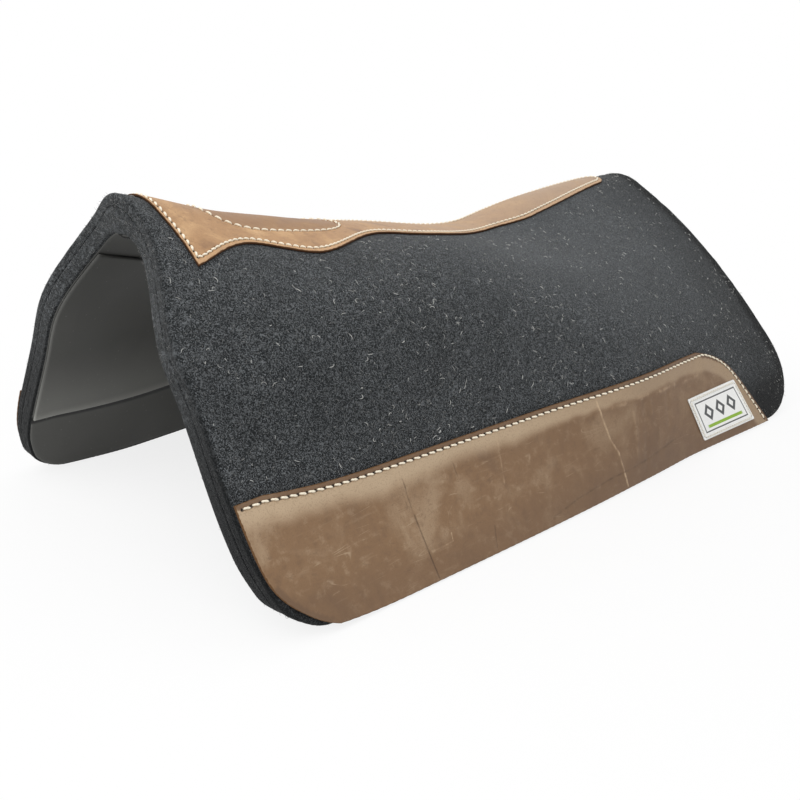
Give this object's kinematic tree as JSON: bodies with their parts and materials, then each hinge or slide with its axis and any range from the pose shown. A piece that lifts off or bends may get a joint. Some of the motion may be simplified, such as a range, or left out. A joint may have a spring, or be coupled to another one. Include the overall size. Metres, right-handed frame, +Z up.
{
  "type": "saddle pad",
  "caption": "Contoured wool felt western saddle pad with smooth-lined bar inserts, a shaped spine leather, wear leathers on both flaps and a plain label patch.",
  "frame": {"origin": "on the surface that the hems stand on, under the middle of the pad's bounding box", "axes": "+X to the horse's left (near) flap, +Y along the spine towards the rear, +Z up"},
  "size_m": [0.5542, 0.8136, 0.32],
  "materials": {
    "outer_felt": "charcoal needled wool felt, light flecks, fuzzy nap",
    "inner_felt": "lighter charcoal wool felt",
    "lining": "smooth matt dark skin",
    "insert_skin": "smooth matt dark skin over closed-cell foam",
    "spine_leather": "tan oiled leather, raw edges",
    "wear_leather": "distressed brown pull-up leather, raw edges",
    "label": "white printed patch",
    "seam_tape": "woven dark tape",
    "thread": "waxed cream thread"
  },
  "bodies": {
    "root": {"outer_felt_left": "outer_felt", "outer_felt_right": "outer_felt", "inner_felt_left": "inner_felt", "inner_felt_right": "inner_felt", "lining_left": "lining", "lining_right": "lining", "bar_insert_left": "insert_skin", "bar_insert_right": "insert_skin", "spine_leather": "spine_leather", "wear_leather_left": "wear_leather", "wear_leather_right": "wear_leather", "label_patch": "label", "spine_seam_tape": "seam_tape", "spine_seam_stitching": "thread", "spine_leather_stitching": "thread", "wither_oval_stitching": "thread", "wear_leather_stitching_left": "thread", "wear_leather_stitching_right": "thread", "label_stitching": "thread"}
  },
  "joints": []
}
